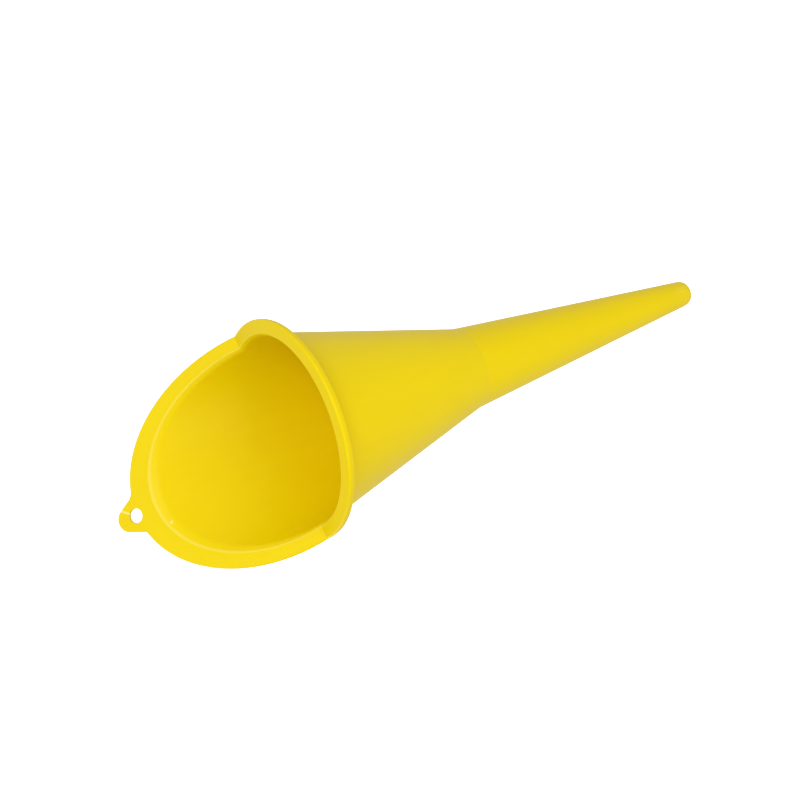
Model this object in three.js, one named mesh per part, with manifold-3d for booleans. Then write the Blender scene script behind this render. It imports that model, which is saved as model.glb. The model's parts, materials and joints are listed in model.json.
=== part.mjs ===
// A long-neck pouring funnel with a scoop mouth, as three.js geometry.
// Millimetres. +Z runs up the funnel's axis, from the spout's end (z = 0) to the mouth.
// The scoop and its hanging tab are at the front, towards -Y. The YZ plane is the plane of symmetry.
import * as THREE from 'three';
import { mergeVertices } from 'three/addons/utils/BufferGeometryUtils.js';
import Module from 'manifold-3d';

const wasm = await Module();
wasm.setup();

// Driving dimensions.
const SPOUT_LENGTH = 196;           // from the spout's end to the bend where it meets the bowl
const BOWL_HEIGHT = 135;            // from that bend to the flat rear part of the mouth
const SPOUT_END_RADIUS = 8.6;       // outside
const BEND_RADIUS = 26.8;           // outside, where spout and bowl meet
const MOUTH_RADIUS = 61;            // outside, at the height of the rear part of the mouth
const WALL = 2;
const SPOUT_END_ROUNDING = 1;

const SCOOP_ANGLE = 43;             // degrees that the front part of the mouth rises from level
const FOLD_AHEAD = 7.7;             // how far in front of the axis the mouth changes plane

const LIP_OVERHANG = 8.4;           // how far the lip stands out from the bowl's outside
const LIP_DEPTH = 4.4;              // from the lip's top face to the foot of its skirt
const LAND_THICKNESS = 2;           // the lip's top sheet
const SKIRT_THICKNESS = 2;          // the lip's turned-down edge
const LIP_EDGE_ROUNDING = 1.6;      // along the lip's outer top edge

const EYE_RADIUS = 4.6;             // the hole that the funnel hangs from
const EYE_INSIDE_EDGE = 0.2;        // how far the eye's centre lies inside the lip's outer edge
const TAB_END_RADIUS = 8;           // the tab's round end
const TAB_END_PAST_EYE = 5.5;       // from the eye's centre out to the round end's centre
const TAB_FLARE = 25;               // degrees that the tab's sides spread towards the lip
const TAB_ROOT = 7.5;               // how far the tab reaches into the lip behind the eye's centre
const TAB_THICKNESS = 2.6;

const CLEARANCE = 0.3;              // between neighbouring pieces
const TRIM = 2;                     // how far a shape runs on past the cut that trims it

const ROUND_STEPS = 96;             // facets around the axis
const REACH = 400;                  // half the size of the blocks that trim the pieces

// Values that follow from the driving dimensions.
const MOUTH_LEVEL = SPOUT_LENGTH + BOWL_HEIGHT;
const BOWL_TAPER = (MOUTH_RADIUS - BEND_RADIUS) / BOWL_HEIGHT;
const scoopAngle = THREE.MathUtils.degToRad(SCOOP_ANGLE);
const scoopRun = new THREE.Vector2(-Math.cos(scoopAngle), Math.sin(scoopAngle));     // (y, z)
const scoopNormal = new THREE.Vector2(Math.sin(scoopAngle), Math.cos(scoopAngle));   // (y, z)
const fold = new THREE.Vector2(-FOLD_AHEAD, MOUTH_LEVEL);
const mitre = scoopNormal.clone().add(new THREE.Vector2(0, 1)).normalize();

// The outside radius of the bowl's cone, which the lip follows past the rear mouth level.
function bowlRadius(z) {
  return BEND_RADIUS + BOWL_TAPER * (z - SPOUT_LENGTH);
}

// Distance up the scoop from the fold to where it meets a cone this far outside the bowl's.
function scoopLength(offset) {
  const start = MOUTH_RADIUS + offset - FOLD_AHEAD;
  return start / (Math.cos(scoopAngle) - BOWL_TAPER * Math.sin(scoopAngle));
}

const eyeRun = scoopLength(LIP_OVERHANG) - EYE_INSIDE_EDGE;
const tabReach = TAB_END_PAST_EYE + TAB_END_RADIUS;
const TOP_LEVEL = MOUTH_LEVEL + (eyeRun + tabReach) * Math.sin(scoopAngle) + TRIM;

// three.js geometry to a manifold-3d solid, and back.
function solid(geometry) {
  const bare = geometry.clone();
  bare.deleteAttribute('normal');
  bare.deleteAttribute('uv');
  const merged = mergeVertices(bare, 1e-4);
  return new wasm.Manifold(new wasm.Mesh({
    numProp: 3,
    vertProperties: new Float32Array(merged.attributes.position.array),
    triVerts: new Uint32Array(merged.index.array),
  }));
}

function geometryOf(manifold) {
  const mesh = manifold.getMesh();
  const geometry = new THREE.BufferGeometry();
  geometry.setAttribute('position', new THREE.BufferAttribute(mesh.vertProperties, 3));
  geometry.setIndex(new THREE.BufferAttribute(mesh.triVerts, 1));
  geometry.computeVertexNormals();
  return geometry;
}

// A solid of revolution about Z from a closed outline of [radius, z] points.
function turned(outline) {
  const points = [...outline, outline[0]].map(([radius, z]) => new THREE.Vector2(radius, z));
  const lathe = new THREE.LatheGeometry(points, ROUND_STEPS);
  lathe.rotateX(Math.PI / 2);
  const body = solid(lathe);
  return body.volume() > 0 ? body : solid(flipped(lathe));
}

function flipped(geometry) {
  const turnedOver = geometry.clone();
  const index = turnedOver.index.array;
  for (let corner = 0; corner < index.length; corner += 3) {
    [index[corner + 1], index[corner + 2]] = [index[corner + 2], index[corner + 1]];
  }
  return turnedOver;
}

// The bowl's cone grown outwards by an offset, filled, from below the bend to above the mouth.
function filledCone(offset) {
  const low = SPOUT_LENGTH + TRIM;
  return turned([
    [0, low],
    [bowlRadius(low) + offset, low],
    [bowlRadius(TOP_LEVEL) + offset, TOP_LEVEL],
    [0, TOP_LEVEL],
  ]);
}

// A prism along X whose section is an outline of (y, z) points.
function prism(outline) {
  const section = new THREE.ExtrudeGeometry(new THREE.Shape(outline), {
    depth: 2 * REACH,
    bevelEnabled: false,
  });
  section.translate(0, 0, -REACH);
  section.applyMatrix4(new THREE.Matrix4().makeBasis(
    new THREE.Vector3(0, 1, 0),
    new THREE.Vector3(0, 0, 1),
    new THREE.Vector3(1, 0, 0),
  ));
  return solid(section);
}

// All the space above the mouth's two planes, sunk by a depth below the lip's top face.
function aboveMouth(depth) {
  const along = depth / mitre.y;
  const corner = fold.clone().addScaledVector(mitre, -along);
  return prism([
    corner,
    new THREE.Vector2(REACH, corner.y),
    new THREE.Vector2(REACH, corner.y + 2 * REACH),
    corner.clone().addScaledVector(scoopRun, 2 * REACH),
  ]);
}

// All the space in front of the mitre through the fold, or behind it.
function besideFold(side, clearance) {
  const edge = fold.clone();
  edge.x += side * clearance / mitre.y;
  const top = edge.clone().addScaledVector(mitre, REACH);
  const bottom = edge.clone().addScaledVector(mitre, -REACH);
  const far = new THREE.Vector2(side * REACH, 0);
  const outline = [bottom, bottom.clone().add(far), top.clone().add(far), top];
  return prism(side > 0 ? outline : outline.reverse());
}

// The hollow that runs under the lip, between the bowl and the skirt.
function underLip() {
  const hollow = filledCone(LIP_OVERHANG - SKIRT_THICKNESS);
  return hollow.subtract(aboveMouth(LAND_THICKNESS));
}

// The lip's outer body, with its outer top edge stepped down in two chamfers.
function lipBlank() {
  const lowered = LIP_EDGE_ROUNDING * (1 - Math.SQRT1_2);
  const core = filledCone(LIP_OVERHANG).subtract(aboveMouth(LIP_EDGE_ROUNDING));
  const middle = filledCone(LIP_OVERHANG - lowered).subtract(aboveMouth(lowered));
  const top = filledCone(LIP_OVERHANG - LIP_EDGE_ROUNDING).subtract(aboveMouth(0));
  return core.add(middle).add(top);
}

function wholeLip() {
  return lipBlank()
    .intersect(aboveMouth(LIP_DEPTH))
    .subtract(underLip())
    .subtract(filledCone(-WALL));
}

// The tab's outline about the eye's centre: x across the funnel, y outwards along the scoop.
function tabOutline(margin) {
  const spread = THREE.MathUtils.degToRad(TAB_FLARE);
  const radius = TAB_END_RADIUS + margin;
  const root = TAB_ROOT + margin;
  const shoulder = (radius + (root + TAB_END_PAST_EYE) * Math.sin(spread)) / Math.cos(spread);
  const shape = new THREE.Shape();
  shape.moveTo(-shoulder, -root);
  shape.lineTo(shoulder, -root);
  shape.absarc(0, TAB_END_PAST_EYE, radius, spread, Math.PI - spread, false);
  return shape;
}

// A shape on the scoop's plane about the eye's centre, sunk and thickened below the top face.
function onScoop(shape, top, thickness, steps) {
  const plate = new THREE.ExtrudeGeometry(shape, {
    depth: thickness,
    bevelEnabled: false,
    curveSegments: steps,
  });
  plate.translate(0, 0, top - thickness);
  const eye = fold.clone().addScaledVector(scoopRun, eyeRun);
  plate.applyMatrix4(new THREE.Matrix4().makeBasis(
    new THREE.Vector3(-1, 0, 0),
    new THREE.Vector3(0, scoopRun.x, scoopRun.y),
    new THREE.Vector3(0, scoopNormal.x, scoopNormal.y),
  ).setPosition(0, eye.x, eye.y));
  return solid(plate);
}

function spout() {
  const top = SPOUT_LENGTH - CLEARANCE / 2;
  const taper = (BEND_RADIUS - SPOUT_END_RADIUS) / SPOUT_LENGTH;
  const outside = (z) => SPOUT_END_RADIUS + taper * z;
  const turn = SPOUT_END_ROUNDING;
  const outline = [[SPOUT_END_RADIUS - WALL, 0]];
  for (let step = 0; step <= 4; step += 1) {
    const angle = (step / 4) * Math.PI / 2;
    outline.push([
      outside(turn) - turn * (1 - Math.sin(angle)),
      turn * (1 - Math.cos(angle)),
    ]);
  }
  outline.push([outside(top), top], [outside(top) - WALL, top]);
  return turned(outline);
}

function bowl() {
  const low = SPOUT_LENGTH + CLEARANCE / 2;
  const shell = turned([
    [bowlRadius(low) - WALL, low],
    [bowlRadius(low), low],
    [bowlRadius(TOP_LEVEL), TOP_LEVEL],
    [bowlRadius(TOP_LEVEL) - WALL, TOP_LEVEL],
  ]);
  return shell.subtract(aboveMouth(LAND_THICKNESS + CLEARANCE));
}

function rearLip() {
  return wholeLip().intersect(besideFold(1, CLEARANCE / 2));
}

function frontLip() {
  const notch = onScoop(tabOutline(CLEARANCE), REACH / 2, REACH, 24);
  return wholeLip().intersect(besideFold(-1, CLEARANCE / 2)).subtract(notch);
}

function hangingTab() {
  const outline = tabOutline(0);
  const eye = new THREE.Path();
  eye.absarc(0, 0, EYE_RADIUS, 0, 2 * Math.PI, false);
  outline.holes.push(eye);
  return onScoop(outline, 0, TAB_THICKNESS, 24);
}

function yellowPlastic(shade) {
  return new THREE.MeshStandardMaterial({
    color: new THREE.Color(shade),
    roughness: 0.38,
    metalness: 0,
  });
}

function piece(name, manifold, shade) {
  const mesh = new THREE.Mesh(geometryOf(manifold), yellowPlastic(shade));
  mesh.name = name;
  return mesh;
}

const funnel = new THREE.Group();
funnel.add(
  piece('spout', spout(), '#edcc16'),
  piece('bowl', bowl(), '#eece15'),
  piece('rear_lip', rearLip(), '#e8c41a'),
  piece('front_lip', frontLip(), '#f3d81a'),
  piece('hanging_tab', hangingTab(), '#f0d41a'),
);

export default funnel;
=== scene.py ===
"""A long-neck pouring funnel in satin yellow plastic: one moulding with a scoop mouth and a hanging tab.

Metres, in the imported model's frame: +Z up the funnel's axis, the scoop and its tab towards -Y.
"""

import json
import math

import bmesh
import bpy
from mathutils import Matrix, Vector


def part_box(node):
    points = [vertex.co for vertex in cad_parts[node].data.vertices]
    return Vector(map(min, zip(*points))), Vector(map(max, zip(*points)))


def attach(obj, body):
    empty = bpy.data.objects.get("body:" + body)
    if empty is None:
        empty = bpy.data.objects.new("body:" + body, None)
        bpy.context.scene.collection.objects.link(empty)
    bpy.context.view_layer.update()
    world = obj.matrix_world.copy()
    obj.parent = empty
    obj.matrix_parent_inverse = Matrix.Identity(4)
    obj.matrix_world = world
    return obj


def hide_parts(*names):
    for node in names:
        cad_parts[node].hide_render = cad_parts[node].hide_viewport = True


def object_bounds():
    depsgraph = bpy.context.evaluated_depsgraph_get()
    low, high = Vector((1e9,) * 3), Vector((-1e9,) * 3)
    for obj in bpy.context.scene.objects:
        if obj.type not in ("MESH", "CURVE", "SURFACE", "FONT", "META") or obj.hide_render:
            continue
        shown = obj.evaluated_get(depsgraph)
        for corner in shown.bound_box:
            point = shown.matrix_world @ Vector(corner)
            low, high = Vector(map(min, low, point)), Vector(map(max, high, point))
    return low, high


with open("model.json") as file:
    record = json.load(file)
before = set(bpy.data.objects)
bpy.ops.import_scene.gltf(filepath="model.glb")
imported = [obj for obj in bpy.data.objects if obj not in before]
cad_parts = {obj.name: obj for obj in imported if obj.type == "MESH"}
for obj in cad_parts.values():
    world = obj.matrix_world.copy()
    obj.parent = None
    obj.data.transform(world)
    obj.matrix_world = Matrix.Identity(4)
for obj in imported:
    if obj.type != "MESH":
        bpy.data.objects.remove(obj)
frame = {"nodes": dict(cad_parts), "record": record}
CAD_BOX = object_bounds()

MM = 0.001
TINY = 1e-6                         # two points closer than this are one

# ---- Sizes that the frame gives ------------------------------------------------------------


def node_points(node):
    return [vertex.co for vertex in frame["nodes"][node].data.vertices]


def mount(name):
    return next(entry for entry in frame["record"]["mounts"] if entry["name"] == name)


def opening_centre(name):
    openings = frame["record"]["physics"]["openings"]
    low, high = next(entry for entry in openings if entry["name"] == name)["box_m"]
    return (Vector(low) + Vector(high)) / 2


BEND_LEVEL = (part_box("spout")[1].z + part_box("bowl")[0].z) / 2
BEND_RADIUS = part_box("spout")[1].x
END_ZONE = 2 * MM                   # how far up the spout its end radius is measured
END_RADIUS = max(math.hypot(point.x, point.y) for point in node_points("spout") if point.z < END_ZONE)
MOUTH_LEVEL = mount("rear_lip_top")["pos_m"][2]
TOP_LEVEL = CAD_BOX[1].z
BOWL_REAR_EDGE = max(node_points("bowl"), key=lambda point: point.y)
TAPER = (BOWL_REAR_EDGE.y - BEND_RADIUS) / (BOWL_REAR_EDGE.z - BEND_LEVEL)

UP = Vector((0, 0, 1))
SCOOP_NORMAL = Vector(mount("tab_face")["axis"])
SCOOP_RUN = Vector((0, -SCOOP_NORMAL.z, SCOOP_NORMAL.y))
TAB_POINT = Vector(mount("tab_face")["pos_m"])
FOLD = TAB_POINT - SCOOP_RUN * ((TAB_POINT.z - MOUTH_LEVEL) / SCOOP_RUN.z)
MITRE = (SCOOP_NORMAL + UP).normalized()
EYE_MIDDLE = opening_centre("hanging_eye")
EYE = EYE_MIDDLE + SCOOP_NORMAL * (FOLD - EYE_MIDDLE).dot(SCOOP_NORMAL)
REAR_LIP_EDGE = max(node_points("rear_lip"), key=lambda point: point.y)
LIP_TRIM = 0.05 * MM                # keeps the round lip inside the faceted one
OVERHANG = REAR_LIP_EDGE.y - BEND_RADIUS - TAPER * (REAR_LIP_EDGE.z - BEND_LEVEL) - LIP_TRIM
LIP_DEPTH = MOUTH_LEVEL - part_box("rear_lip")[0].z

# ---- Sizes of the moulding's details ------------------------------------------------------------

WALL = 2 * MM
BEND_ROUNDING = 1.5 * MM            # where spout and bowl meet, inside and out
NOSE_DROP = 0.8 * MM                # how far the spout's end turns in over its last few millimetres
NOSE_LENGTH = 2.8 * MM
NOSE_ROUNDING = 0.8 * MM
NOSE_SHOULDER_ROUNDING = 1.4 * MM
BORE_END_ROUNDING = 0.3 * MM

LAND = 2 * MM                       # the lip's top sheet
SKIRT = 2 * MM                      # the lip's turned-down edge
LIP_EDGE_ROUNDING = 1.8 * MM
UNDER_LIP_FILLET = 1 * MM           # under the lip, against the bowl
SKIRT_FILLET = 0.7 * MM             # under the lip, against its skirt
SKIRT_INNER_ROUNDING = 0.5 * MM     # the skirt's foot, inside and outside
SKIRT_OUTER_ROUNDING = 0.6 * MM

CREST_FOOT = 2.6 * MM               # outside the bowl, where a low crest starts to rise along the lip's inner edge
CREST_TOP = -0.5 * MM
CREST_HEIGHT = 0.2 * MM
CREST_DROP = 1.8 * MM               # below the lip's face, where the crest's inner slope meets the bowl's inside
CREST_ROUNDING = 0.5 * MM           # at its foot and its top
CREST_SLOPE_ROUNDING = 1.4 * MM
CREST_HIGHLIGHT_BAND = 0.7 * MM               # how far on each side of the crest a painted highlight makes the plastic paler
CREST_HIGHLIGHT_CORE = 0.2 * CREST_HIGHLIGHT_BAND       # and how far it is fully so

# How many segments a rounded edge has, from fillets to the lip's wide outer edge.
SMALL_STEPS = 3
SOFT_STEPS = 4
WIDE_STEPS = 5
ROLL_STEPS = 6
ROUND_STEPS = 120                   # points around the axis, a multiple of 4 so that they lie on both axes
# The angle from the front to where the mouth's fold meets the bowl's outside.
FOLD_ANGLE = math.acos(-FOLD.y / (BEND_RADIUS + TAPER * (MOUTH_LEVEL - BEND_LEVEL)))

EYE_RADIUS = min((point - EYE).cross(SCOOP_NORMAL).length for point in node_points("hanging_tab"))
EYE_ROUNDING = 0.5 * MM
EYE_STEPS = 64
EYE_TO_LIP_EDGE = 0.2 * MM
TAB_BOTTOM = max((EYE - point).dot(SCOOP_NORMAL) for point in node_points("hanging_tab"))
TAB_REACH = max((point - EYE).dot(SCOOP_RUN) for point in node_points("hanging_tab"))
TAB_ROOT = max((EYE - point).dot(SCOOP_RUN) for point in node_points("hanging_tab"))
TAB_END_RADIUS = 8 * MM
TAB_END_STEPS = 12                  # segments in each half of the tab's round end
TAB_FLARE = math.radians(25)        # how far the tab's sides spread towards the lip
TAB_BLEND = 7 * MM                  # the hollow corner between lip and tab on the -X side
TAB_BLEND_STEPS = 8
TAB_CORNER = 1.6 * MM               # the tighter one on the +X side
TAB_CORNER_STEPS = 6
TAB_TOP_ROUNDING = 1.2 * MM
TAB_BOTTOM_ROUNDING = 0.6 * MM
TAB_OVERLAP = 0.3 * MM              # how far the tab's plate runs past the gap that is cut in the skirt
TAB_SUNK = 0.02 * MM                # how far the tab's face lies below the lip's
LIP_EDGE_CURVE = 58 * MM            # the radius of the lip's edge beside the tab, in the scoop's plane
LIP_SET_BACK = 1.1 * MM             # how far the lip's rounding sets its edge back beside the tab

WELD_ANGLE = math.radians(41)       # from straight outwards towards -X
WELD_RADIUS = 0.5 * MM
WELD_HEIGHT = 0.15 * MM
WELD_REACH = 10.8 * MM              # from the eye's centre
WELD_BAND = 0.9 * MM                # how far on each side of the line the plastic is paler
WELD_CORE = WELD_BAND / 2           # and how far it is fully so
WELD_STEPS = 24
GATE_AZIMUTH = math.radians(11)     # from the front towards +X
GATE_RADIUS = 0.9 * MM
GATE_FADE = 1.3 * GATE_RADIUS       # where its paler tone ends
GATE_HEIGHT = 0.35 * MM
GATE_STEPS = 24

SMOOTH_BELOW = math.radians(30)     # edges sharper than this stay crisp
FLAT_FACE_WEIGHT = 80               # how strongly large faces set the shading of the roundings beside them


# ---- Modelling helpers ------------------------------------------------------------


def choose(*pieces):
    """Selects these pieces and nothing else, the first one active."""
    bpy.ops.object.select_all(action="DESELECT")
    for piece in pieces:
        piece.select_set(True)
    bpy.context.view_layer.objects.active = pieces[0]


def open_piece(piece):
    """Enters edit mode on one piece alone, with everything in it selected."""
    choose(piece)
    bpy.ops.object.mode_set(mode="EDIT")
    bpy.ops.mesh.select_mode(type="VERT")
    bpy.ops.mesh.select_all(action="SELECT")


def close_piece():
    bpy.ops.object.mode_set(mode="OBJECT")


def settle(piece, place=Matrix.Identity(4)):
    """Moves a piece to its place, and leaves its object at the origin, unturned, with the place in its mesh."""
    piece.matrix_world = place @ piece.matrix_world
    choose(piece)
    bpy.ops.object.transform_apply(location=True, rotation=True, scale=True)


def pick(piece, kind, test):
    """Selects the open piece's vertices, edges or faces that pass a test, and nothing else."""
    bpy.ops.mesh.select_mode(type=kind)
    bpy.ops.mesh.select_all(action="DESELECT")
    mesh = bmesh.from_edit_mesh(piece.data)
    parts = {"VERT": mesh.verts, "EDGE": mesh.edges, "FACE": mesh.faces}[kind]
    for part in parts:
        part.select_set(bool(test(part)))
    mesh.select_flush_mode()
    bmesh.update_edit_mesh(piece.data)


def round_off(width, segments):
    """Rounds the selected edges of the open piece."""
    bpy.ops.mesh.bevel(
        offset_type="OFFSET", offset=width, segments=segments, profile=0.5, affect="EDGES",
        clamp_overlap=False)


def finish_with(piece, kind, **settings):
    """Adds a modifier to a piece and applies it."""
    modifier = piece.modifiers.new(kind.lower(), kind)
    for name, value in settings.items():
        setattr(modifier, name, value)
    choose(piece)
    bpy.ops.object.modifier_apply(modifier=modifier.name)


def combine(piece, tool, operation):
    """Joins a closed tool piece to a closed piece, or cuts it away, and deletes the tool."""
    finish_with(piece, "BOOLEAN", object=tool, operation=operation, solver="EXACT")
    bpy.data.objects.remove(tool)


# ---- The funnel's shell ------------------------------------------------------------


def bowl_radius(level):
    return BEND_RADIUS + TAPER * (level - BEND_LEVEL)


def mouth_corner(depth):
    return FOLD - MITRE * (depth / MITRE.z)


def height_over_mouth(point, depth):
    """Signed height over the mouth's two planes, when they are sunk by a depth."""
    from_corner = point - mouth_corner(depth)
    return min(from_corner.dot(SCOOP_NORMAL), from_corner.dot(UP))


def mouth_ring(offset, depth):
    """The loop where the bowl's cone, grown by an offset, meets the mouth sunk by a depth."""
    low = BEND_LEVEL
    high = TOP_LEVEL + WALL
    bpy.ops.mesh.primitive_cone_add(
        vertices=ROUND_STEPS, end_fill_type="NOTHING", location=(0, 0, (low + high) / 2), depth=high - low,
        radius1=bowl_radius(low) + offset, radius2=bowl_radius(high) + offset)
    ring = bpy.context.object
    settle(ring)
    open_piece(ring)
    for normal in (UP, SCOOP_NORMAL):
        bpy.ops.mesh.select_all(action="SELECT")
        bpy.ops.mesh.bisect(plane_co=mouth_corner(depth), plane_no=normal, threshold=TINY)
    pick(ring, "VERT", lambda vertex: abs(height_over_mouth(vertex.co, depth)) > 10 * TINY)
    bpy.ops.mesh.delete(type="VERT")
    close_piece()
    return ring


def level_ring(radius, level):
    """A circle about the axis, with two more points in line with the mouth's fold."""
    bpy.ops.mesh.primitive_circle_add(vertices=ROUND_STEPS, radius=radius, location=(0, 0, level))
    ring = bpy.context.object
    settle(ring)
    open_piece(ring)
    fold_line = (0, -radius * math.cos(FOLD_ANGLE), level)
    bpy.ops.mesh.bisect(plane_co=fold_line, plane_no=(0, 1, 0), threshold=TINY)
    close_piece()
    return ring


def runs_along(piece, numbers):
    """A test for the open piece's edges that run along the rings with these numbers."""
    layer = bmesh.from_edit_mesh(piece.data).edges.layers.int["ring"]
    return lambda edge: edge[layer] in numbers


def funnel_shell():
    """One closed wall: up the outside, round the lip, and down the inside to the spout's end."""
    spout_taper = (BEND_RADIUS - END_RADIUS) / BEND_LEVEL
    inner_bend = BEND_LEVEL + WALL * (TAPER - spout_taper) / 2
    nose_radius = END_RADIUS + spout_taper * NOSE_LENGTH
    # Each ring with the width that its edge is rounded by, and in how many segments.
    profile = [
        (level_ring(END_RADIUS - NOSE_DROP, 0), NOSE_ROUNDING, WIDE_STEPS),
        (level_ring(nose_radius, NOSE_LENGTH), NOSE_SHOULDER_ROUNDING, SOFT_STEPS),
        (level_ring(BEND_RADIUS, BEND_LEVEL), BEND_ROUNDING, SMALL_STEPS),
        (mouth_ring(0, LAND), UNDER_LIP_FILLET, SMALL_STEPS),
        (mouth_ring(OVERHANG - SKIRT, LAND), SKIRT_FILLET, SMALL_STEPS),
        (mouth_ring(OVERHANG - SKIRT, LIP_DEPTH), SKIRT_INNER_ROUNDING, SMALL_STEPS),
        (mouth_ring(OVERHANG, LIP_DEPTH), SKIRT_OUTER_ROUNDING, SMALL_STEPS),
        (mouth_ring(OVERHANG, 0), LIP_EDGE_ROUNDING, ROLL_STEPS),
        (mouth_ring(CREST_FOOT, 0), CREST_ROUNDING, SMALL_STEPS),
        (mouth_ring(CREST_TOP, -CREST_HEIGHT), CREST_ROUNDING, SOFT_STEPS),
        (mouth_ring(-WALL, CREST_DROP), CREST_SLOPE_ROUNDING, WIDE_STEPS),
        (level_ring(BEND_RADIUS - WALL, inner_bend), BEND_ROUNDING, SMALL_STEPS),
        (level_ring(END_RADIUS - WALL, 0), BORE_END_ROUNDING, SMALL_STEPS),
    ]
    for number, (ring, _, _) in enumerate(profile, start=1):
        mark = ring.data.attributes.new("ring", "INT", "EDGE")
        mark.data.foreach_set("value", [number] * len(ring.data.edges))
    choose(*[ring for ring, _, _ in profile])
    bpy.ops.object.join()
    shell = bpy.context.object
    shell.name = "funnel_body"
    open_piece(shell)
    for number in range(1, len(profile) + 1):
        following = number % len(profile) + 1
        pick(shell, "EDGE", runs_along(shell, {number, following}))
        bpy.ops.mesh.bridge_edge_loops()
    bpy.ops.mesh.select_all(action="SELECT")
    bpy.ops.mesh.normals_make_consistent(inside=False)
    for number, (_, width, segments) in enumerate(profile, start=1):
        pick(shell, "EDGE", runs_along(shell, {number}))
        round_off(width, segments)
    close_piece()
    return shell


# ---- The hanging tab ------------------------------------------------------------

TO_SCOOP = Matrix.Translation(EYE) @ Matrix((
    (-1, SCOOP_RUN.x, SCOOP_NORMAL.x),
    (0, SCOOP_RUN.y, SCOOP_NORMAL.y),
    (0, SCOOP_RUN.z, SCOOP_NORMAL.z),
)).to_4x4()


def draw_line(step):
    bpy.ops.mesh.extrude_region_move(TRANSFORM_OT_translate={"value": (*step, 0)})


def draw_arc(centre, start, end, steps):
    """Draws on from one point to another about a centre, the short way round."""
    from_centre, to_centre = start - centre, end - centre
    turn = math.atan2(from_centre.cross(to_centre), from_centre.dot(to_centre))
    bpy.ops.mesh.spin(steps=steps, angle=-turn, center=(*centre, 0), axis=(0, 0, 1))


def blend_arc(radius, end_centre, end_radius, side, edge_level):
    """A hollow corner between the lip's curved edge and the tab's side: its centre and its two ends."""
    lip_centre = Vector((0, edge_level - LIP_EDGE_CURVE))
    along = Vector((side.y, -side.x))
    reach = end_centre + side * (end_radius + radius) - lip_centre
    slide = -reach.dot(along)
    slide -= math.sqrt(slide ** 2 - reach.length_squared + (LIP_EDGE_CURVE + radius) ** 2)
    centre = lip_centre + reach + along * slide
    return centre, lip_centre + (centre - lip_centre).normalized() * LIP_EDGE_CURVE, centre - side * radius


def tab_outline(piece_name, margin):
    """The tab's flat outline about the eye: x across the funnel, y outwards along the scoop."""
    end_centre = Vector((0, TAB_REACH - TAB_END_RADIUS))
    end_radius = TAB_END_RADIUS + margin
    side = Vector((math.cos(TAB_FLARE), math.sin(TAB_FLARE)))
    edge_level = EYE_TO_LIP_EDGE - LIP_SET_BACK + margin
    root = -TAB_ROOT - margin
    other_way = Matrix(((-1, 0), (0, 1)))
    right, right_foot, right_shoulder = blend_arc(TAB_BLEND - margin, end_centre, end_radius, side, edge_level)
    corner, corner_foot, corner_shoulder = blend_arc(TAB_CORNER - margin, end_centre, end_radius, side, edge_level)
    left, left_foot, left_shoulder = (other_way @ point for point in (corner, corner_foot, corner_shoulder))
    right_side = end_centre + side * end_radius
    left_side = other_way @ right_side
    tip = end_centre + Vector((0, end_radius))

    bpy.ops.mesh.primitive_plane_add(size=MM, location=(right_foot.x, root, 0))
    outline = bpy.context.object
    outline.name = piece_name
    settle(outline)
    open_piece(outline)
    bpy.ops.mesh.merge(type="CENTER")
    draw_line((0, right_foot.y - root))
    draw_arc(right, right_foot, right_shoulder, TAB_BLEND_STEPS)
    draw_line(right_side - right_shoulder)
    draw_arc(end_centre, right_side, tip, TAB_END_STEPS)
    draw_arc(end_centre, tip, left_side, TAB_END_STEPS)
    draw_line(left_shoulder - left_side)
    draw_arc(left, left_shoulder, left_foot, TAB_CORNER_STEPS)
    draw_line((0, root - left_foot.y))
    bpy.ops.mesh.select_all(action="SELECT")
    bpy.ops.mesh.remove_doubles(threshold=TINY)
    pick(outline, "VERT", lambda vertex: len(vertex.link_edges) == 1)
    bpy.ops.mesh.edge_face_add()
    bpy.ops.mesh.select_all(action="SELECT")
    bpy.ops.mesh.edge_face_add()
    close_piece()
    return outline


def thicken(outline, top, bottom):
    """Makes a flat outline a plate between two heights, with its faces pointing out."""
    open_piece(outline)
    bpy.ops.transform.translate(value=(0, 0, top))
    bpy.ops.mesh.extrude_region_move(TRANSFORM_OT_translate={"value": (0, 0, bottom - top)})
    bpy.ops.mesh.select_all(action="SELECT")
    bpy.ops.mesh.normals_make_consistent(inside=False)
    close_piece()


def tab_plate():
    """The tab itself, rounded along its top and bottom edges where it stands clear of the lip."""
    plate = tab_outline("tab_plate", 0)
    thicken(plate, -TAB_SUNK, -TAB_BOTTOM)

    def outer_edge(level):
        def test(edge):
            ends = [vertex.co for vertex in edge.verts]
            on_level = all(abs(end.z - level) < TINY for end in ends)
            return on_level and any(end.y > -TAB_ROOT + TINY for end in ends)
        return test

    open_piece(plate)
    pick(plate, "EDGE", outer_edge(-TAB_SUNK))
    round_off(TAB_TOP_ROUNDING, SOFT_STEPS)
    pick(plate, "EDGE", outer_edge(-TAB_BOTTOM))
    round_off(TAB_BOTTOM_ROUNDING, SMALL_STEPS)
    close_piece()
    settle(plate, TO_SCOOP)
    return plate


def skirt_gap():
    """The space under the tab where the lip's turned-down edge is left out."""
    gap = tab_outline("skirt_gap", -TAB_OVERLAP)
    # From inside the tab's thickness to well below the skirt.
    thicken(gap, -LAND / 2, -2 * LIP_DEPTH)
    settle(gap, TO_SCOOP)
    return gap


def turned_tool(rings):
    """A closed round tool about Z, from the radius and height of each of its rings."""
    (radius, level), *others = rings
    bpy.ops.mesh.primitive_circle_add(
        vertices=EYE_STEPS, radius=radius, location=(0, 0, level), fill_type="NGON")
    tool = bpy.context.object
    settle(tool)
    open_piece(tool)
    for next_radius, next_level in others:
        bpy.ops.mesh.extrude_region_move(TRANSFORM_OT_translate={"value": (0, 0, next_level - level)})
        share = next_radius / radius
        bpy.ops.transform.resize(value=(share, share, 1), center_override=(0, 0, next_level))
        radius, level = next_radius, next_level
    bpy.ops.mesh.select_all(action="SELECT")
    bpy.ops.mesh.normals_make_consistent(inside=False)
    close_piece()
    return tool


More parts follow.
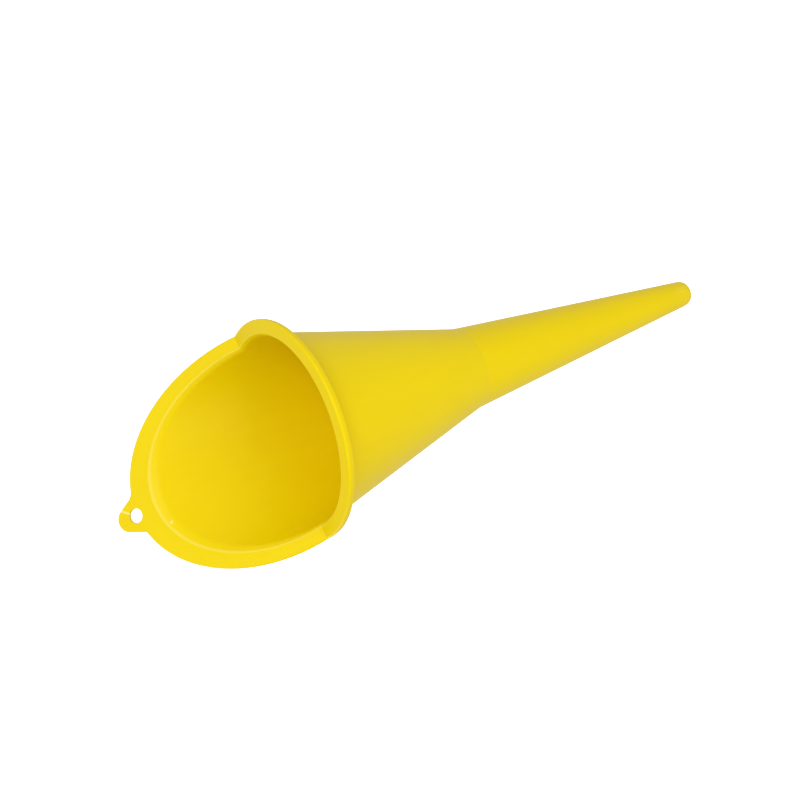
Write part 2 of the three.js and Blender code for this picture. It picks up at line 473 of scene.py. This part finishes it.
def eye_cutter():
    """A spool that cuts the eye and rounds its rims on both faces of the tab."""
    def flare(way, face):
        for step in range(SOFT_STEPS + 1):
            angle = step / SOFT_STEPS * math.pi / 2
            widening = EYE_ROUNDING * (1 - math.cos(angle))
            yield EYE_RADIUS + widening, face - way * EYE_ROUNDING * (1 - math.sin(angle)) + way * TAB_SUNK

    upper = list(flare(1, 0))
    lower = list(flare(-1, -TAB_BOTTOM))[::-1]
    wide = EYE_RADIUS + EYE_ROUNDING
    cutter = turned_tool([(wide, -2 * LIP_DEPTH), *lower, *upper, (wide, LIP_DEPTH)])
    settle(cutter, TO_SCOOP)
    return cutter


def weld_line():
    """The fine raised line where the plastic closed up between the eye and the tab's end."""
    bpy.ops.mesh.primitive_cylinder_add(vertices=WELD_STEPS, radius=WELD_RADIUS, depth=WELD_REACH)
    line = bpy.context.object
    lying = Matrix.Rotation(-WELD_ANGLE, 4, "Z") @ Matrix.Rotation(-math.pi / 2, 4, "X")
    sunk = Matrix.Translation((0, 0, WELD_HEIGHT - WELD_RADIUS))
    settle(line, TO_SCOOP @ sunk @ lying @ Matrix.Translation((0, 0, WELD_REACH / 2)))
    return line


def scoop_point(azimuth, offset, depth):
    """Where the bowl's cone, grown by an offset, meets the scoop sunk by a depth, at an angle from the front."""
    axis_point = Vector((math.sin(azimuth), -math.cos(azimuth), 0)) * (bowl_radius(0) + offset)
    slope = Vector((TAPER * math.sin(azimuth), -TAPER * math.cos(azimuth), 1))
    level = (mouth_corner(depth) - axis_point).dot(SCOOP_NORMAL) / slope.dot(SCOOP_NORMAL)
    return axis_point + slope * level


GATE_TOP = scoop_point(GATE_AZIMUTH, CREST_TOP, -CREST_HEIGHT)
GATE_FOOT = scoop_point(GATE_AZIMUTH, -WALL, CREST_DROP)
GATE_PLACE = GATE_TOP.lerp(GATE_FOOT, 0.5)


def gate_mark():
    """The small domed stub on the crest's inner slope, where the plastic entered the mould."""
    bpy.ops.mesh.primitive_uv_sphere_add(segments=GATE_STEPS, ring_count=GATE_STEPS // 2, radius=GATE_RADIUS)
    mark = bpy.context.object
    along_lip = Vector((math.cos(GATE_AZIMUTH), math.sin(GATE_AZIMUTH), 0))
    inward = (GATE_FOOT - GATE_TOP).cross(along_lip).normalized()
    flat = Matrix.Diagonal((1, 1, GATE_HEIGHT / GATE_RADIUS, 1))
    settle(mark, Matrix.Translation(GATE_PLACE) @ inward.to_track_quat("Z", "Y").to_matrix().to_4x4() @ flat)
    return mark


def funnel_body():
    body = funnel_shell()
    combine(body, skirt_gap(), "DIFFERENCE")
    combine(body, tab_plate(), "UNION")
    combine(body, weld_line(), "UNION")
    combine(body, eye_cutter(), "DIFFERENCE")
    combine(body, gate_mark(), "UNION")
    open_piece(body)
    bpy.ops.mesh.dissolve_degenerate(threshold=TINY)
    close_piece()
    choose(body)
    bpy.ops.object.shade_smooth_by_angle(angle=SMOOTH_BELOW)
    finish_with(body, "WEIGHTED_NORMAL", keep_sharp=True, weight=FLAT_FACE_WEIGHT)
    return body


body = funnel_body()

# ---- Yellow plastic ------------------------------------------------------------


class Value:
    """A socket that Python expressions take as a value, adding the Math nodes that they need."""

    def __init__(self, finish, socket):
        self.finish = finish
        self.socket = socket

    def maths(self, operation, *values):
        return self.finish.node("ShaderNodeMath", {"operation": operation}, dict(enumerate(values)))

    def __add__(self, other):
        return self.maths("ADD", self, other)

    def __sub__(self, other):
        return self.maths("SUBTRACT", self, other)

    def __mul__(self, other):
        return self.maths("MULTIPLY", self, other)

    def __gt__(self, other):
        return self.maths("GREATER_THAN", self, other)

    def __abs__(self):
        return self.maths("ABSOLUTE", self)

    def __rsub__(self, other):
        return self.maths("SUBTRACT", other, self)

    __radd__ = __add__
    __rmul__ = __mul__


class Finish:
    """A material whose nodes are made through one method."""

    def __init__(self, name):
        self.material = bpy.data.materials.new(name)
        self.material.use_nodes = True
        self.tree = self.material.node_tree
        self.shader = self.tree.nodes["Principled BSDF"]

    def feed(self, node, sockets):
        for name, value in sockets.items():
            if isinstance(value, Value):
                self.tree.links.new(value.socket, node.inputs[name])
            else:
                node.inputs[name].default_value = value

    def node(self, kind, settings=None, sockets=None, output=0):
        """Adds a node: its settings first, then the values or links of its sockets."""
        node = self.tree.nodes.new(kind)
        for name, value in (settings or {}).items():
            setattr(node, name, value)
        self.feed(node, sockets or {})
        return Value(self, node.outputs[output])

    def vector(self, operation, first, second, output=0):
        return self.node("ShaderNodeVectorMath", {"operation": operation}, {0: first, 1: second}, output)

    def noise(self, place, scale, detail, roughness=0.5):
        return self.node("ShaderNodeTexNoise", None, {
            "Vector": place, "Scale": scale, "Detail": detail, "Roughness": roughness})

    def between(self, value, low, high, low_result=0, high_result=1):
        """A value spread smoothly over a range, and held at its ends."""
        return self.node("ShaderNodeMapRange", {"interpolation_type": "SMOOTHSTEP"}, {
            "Value": value, "From Min": low, "From Max": high, "To Min": low_result, "To Max": high_result})

    def mix(self, share, first, second):
        return self.node("ShaderNodeMix", {"data_type": "RGBA"}, {0: share, 6: first, 7: second}, 2)


DEEP_YELLOW = (0.86, 0.64, 0.0, 1)
FULL_YELLOW = (0.885, 0.672, 0.0, 1)
PALE_YELLOW = (0.96, 0.84, 0.22, 1)

# Patterns, in repeats per metre, the stretched ones first across the funnel and then along it.
CLOUDS = 14
GRAIN = 1500
RIPPLE = 260
FLOW = (170, 170, 9)
SCUFFS = (900, 900, 120)

TONE_RANGE = (0.3, 0.7)             # the part of a pattern over which the tone changes
SCUFF_RANGE = (0.5, 0.62)
WORN_TIP = (2 * MM, 22 * MM)        # fully scuffed up to the first height, and not at all past the second

# How much each pattern counts for in the tone, the paler places, the roughness and the relief.
CLOUDS_IN_TONE = 0.7
FLOW_IN_TONE = 0.3
WELD_PALENESS = 0.9
GATE_PALENESS = 0.8
# The crest's paleness is a painted highlight along the lip's inner edge.
CREST_HIGHLIGHT_PALENESS = 0.24
TIP_PALENESS = 0.25
SMOOTHEST = 0.3
FLOW_ROUGHNESS = 0.06
GRAIN_ROUGHNESS = 0.08
TIP_ROUGHNESS = 0.15
GRAIN_RELIEF = 0.3
RIPPLE_RELIEF = 0.5
FLOW_RELIEF = 0.2
RELIEF_STRENGTH = 0.25
RELIEF_HEIGHT = 0.05 * MM

GLOSS = 0.2
GLOSS_TINT = (1, 0.94, 0.55, 1)
PLASTIC_IOR = 1.5


def weld_mask(finish, place):
    """The paler band from the eye out to the tab's edge."""
    from_eye = finish.vector("SUBTRACT", place, EYE)
    along_line = TO_SCOOP.to_3x3() @ Vector((math.sin(WELD_ANGLE), math.cos(WELD_ANGLE), 0))
    beside_line = along_line.cross(SCOOP_NORMAL)
    off_line = abs(finish.vector("DOT_PRODUCT", from_eye, beside_line, "Value"))
    outwards = finish.vector("DOT_PRODUCT", from_eye, along_line, "Value") > EYE_RADIUS
    return finish.between(off_line, WELD_CORE, WELD_BAND, 1, 0) * outwards


def gate_mask(finish, place):
    """The paler spot where the gate was broken off."""
    from_gate = finish.vector("DISTANCE", place, GATE_PLACE, "Value")
    return finish.between(from_gate, GATE_RADIUS, GATE_FADE, 1, 0)


def crest_highlight_mask(finish, place, height):
    """A painted highlight: the band along the crest of the lip's inner edge, painted paler to stand in for the
    light that it catches.
    """
    from_axis = finish.vector("LENGTH", finish.vector("MULTIPLY", place, (1, 1, 0)), (0, 0, 0), "Value")
    off_cone = from_axis - (height - BEND_LEVEL) * TAPER - BEND_RADIUS
    over_scoop = finish.vector("DOT_PRODUCT", finish.vector("SUBTRACT", place, FOLD), SCOOP_NORMAL, "Value")
    over_mouth = finish.node("ShaderNodeMath", {"operation": "MINIMUM"}, {0: over_scoop, 1: height - MOUTH_LEVEL})
    on_crest = finish.between(abs(off_cone - CREST_TOP), CREST_HIGHLIGHT_CORE, CREST_HIGHLIGHT_BAND, 1, 0)
    return on_crest * finish.between(over_mouth, -CREST_HIGHLIGHT_BAND, 0)


def yellow_plastic():
    """Satin moulded polyethylene: fine mould grain, flow marks along the funnel, paler scuffs at the spout's end,
    and a painted highlight along the lip's inner crest.
    """
    finish = Finish("yellow_plastic")
    place = finish.node("ShaderNodeTexCoord", output="Object")
    height = finish.node("ShaderNodeSeparateXYZ", None, {"Vector": place}, "Z")

    clouds = finish.noise(place, CLOUDS, detail=3)
    flow = finish.noise(finish.vector("MULTIPLY", place, FLOW), 1, detail=4)
    grain = finish.noise(place, GRAIN, detail=3, roughness=0.6)
    ripple = finish.noise(place, RIPPLE, detail=2)
    scuffs = finish.noise(finish.vector("MULTIPLY", place, SCUFFS), 1, detail=5, roughness=0.7)
    tip_wear = finish.between(height, *WORN_TIP, 1, 0) * finish.between(scuffs, *SCUFF_RANGE)

    cloud_tone = finish.between(clouds, *TONE_RANGE) * CLOUDS_IN_TONE
    tone = cloud_tone + finish.between(flow, *TONE_RANGE) * FLOW_IN_TONE
    marks = weld_mask(finish, place) * WELD_PALENESS + gate_mask(finish, place) * GATE_PALENESS
    # Paler at the weld line, the gate and the scuffed tip, plus a painted highlight along the lip's crest.
    paleness_and_crest_highlight = marks + crest_highlight_mask(finish, place, height) * CREST_HIGHLIGHT_PALENESS + tip_wear * TIP_PALENESS
    relief = grain * GRAIN_RELIEF + ripple * RIPPLE_RELIEF + flow * FLOW_RELIEF
    finish.feed(finish.shader, {
        "Base Color": finish.mix(paleness_and_crest_highlight, finish.mix(tone, DEEP_YELLOW, FULL_YELLOW), PALE_YELLOW),
        "Roughness": SMOOTHEST + flow * FLOW_ROUGHNESS + grain * GRAIN_ROUGHNESS + tip_wear * TIP_ROUGHNESS,
        "Normal": finish.node("ShaderNodeBump", None, {
            "Strength": RELIEF_STRENGTH, "Distance": RELIEF_HEIGHT, "Height": relief}),
        "Specular IOR Level": GLOSS, "Specular Tint": GLOSS_TINT, "IOR": PLASTIC_IOR})
    return finish.material


body.data.materials.clear()
body.data.materials.append(yellow_plastic())

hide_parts("spout", "bowl", "rear_lip", "front_lip", "hanging_tab")
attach(body, "root")

# ---- Stage ------------------------------------------------------------

WHITE = (1, 1, 1, 1)
AIM = Vector((0, 0, MOUTH_LEVEL - 4 * MM))      # on the axis just below the mouth, faced by lights and camera
FLOOR_SIZE = 40
FLOOR_LEVEL = -0.4
FLOOR_GLOW = 0.8
WORLD_LIGHT = 0.62                  # how brightly the surroundings light the funnel
WORLD_LOOK = 1.05                   # and how bright they look behind it

# Each softbox with its direction from the aim, its distance and side in metres, and its power in watts.
SOFTBOXES = {
    "key_light": ((-0.08, 0.8, 0.66), 1.4, 0.6, 6),
    "overhead_light": ((-0.2, 0.38, 0.9), 1.2, 0.4, 1.6),
    "front_fill_light": ((0.3, -0.9, 0.3), 1.5, 1.0, 6),
    "low_fill_light": ((0.7, 0.75, -0.3), 1.4, 1.2, 7),
}


def white_floor():
    """A pale floor that the camera sees, and that neither lights the funnel nor shines in it."""
    bpy.ops.mesh.primitive_plane_add(size=FLOOR_SIZE, location=(0, 0, FLOOR_LEVEL))
    floor = bpy.context.object
    floor.name = "floor"
    paper = Finish("white_paper")
    paper.feed(paper.shader, {"Base Color": WHITE, "Emission Color": WHITE, "Emission Strength": FLOOR_GLOW})
    floor.data.materials.append(paper.material)
    floor.visible_diffuse = False
    floor.visible_glossy = False


def softbox(name, direction, distance, size, power):
    """A square soft light that faces the middle of the scoop and never shows itself."""
    light = bpy.data.lights.new(name, "AREA")
    light.size = size
    light.energy = power
    holder = bpy.data.objects.new(name, light)
    bpy.context.scene.collection.objects.link(holder)
    away = Vector(direction).normalized()
    place = Matrix.Translation(AIM + away * distance)
    holder.matrix_world = place @ away.to_track_quat("Z", "Y").to_matrix().to_4x4()
    holder.visible_camera = False


def studio():
    """Even white surroundings that look brighter than they light the funnel, and four softboxes."""
    world = bpy.data.worlds.new("studio")
    bpy.context.scene.world = world
    world.use_nodes = True
    nodes, links = world.node_tree.nodes, world.node_tree.links
    nodes["Background"].inputs["Color"].default_value = WHITE
    seen = nodes.new("ShaderNodeLightPath")
    brightness = nodes.new("ShaderNodeMapRange")
    brightness.inputs["To Min"].default_value = WORLD_LIGHT
    brightness.inputs["To Max"].default_value = WORLD_LOOK
    links.new(seen.outputs["Is Camera Ray"], brightness.inputs["Value"])
    links.new(brightness.outputs["Result"], nodes["Background"].inputs["Strength"])
    for name, settings in SOFTBOXES.items():
        softbox(name, *settings)
    bpy.context.scene.view_settings.view_transform = "Standard"


white_floor()
studio()

# ---- Camera ------------------------------------------------------------

CAMERA_AZIMUTH = math.radians(167.26)
CAMERA_ELEVATION = math.radians(26.52)
CAMERA_ROLL = math.radians(-109.13)
CAMERA_DISTANCE = 0.8333
CAMERA_LENS = 62.7                  # millimetres
CAMERA_SHIFT = (0.1376, 0.0369)


def camera():
    level = math.cos(CAMERA_ELEVATION)
    back = Vector((
        math.sin(CAMERA_AZIMUTH) * level, -math.cos(CAMERA_AZIMUTH) * level, math.sin(CAMERA_ELEVATION)))
    lens = bpy.data.cameras.new("camera")
    lens.lens = CAMERA_LENS
    lens.shift_x, lens.shift_y = CAMERA_SHIFT
    holder = bpy.data.objects.new("camera", lens)
    bpy.context.scene.collection.objects.link(holder)
    turn = back.to_track_quat("Z", "Y").to_matrix() @ Matrix.Rotation(CAMERA_ROLL, 3, "Z")
    holder.matrix_world = Matrix.Translation(AIM + back * CAMERA_DISTANCE) @ turn.to_4x4()
    bpy.context.scene.camera = holder


camera()
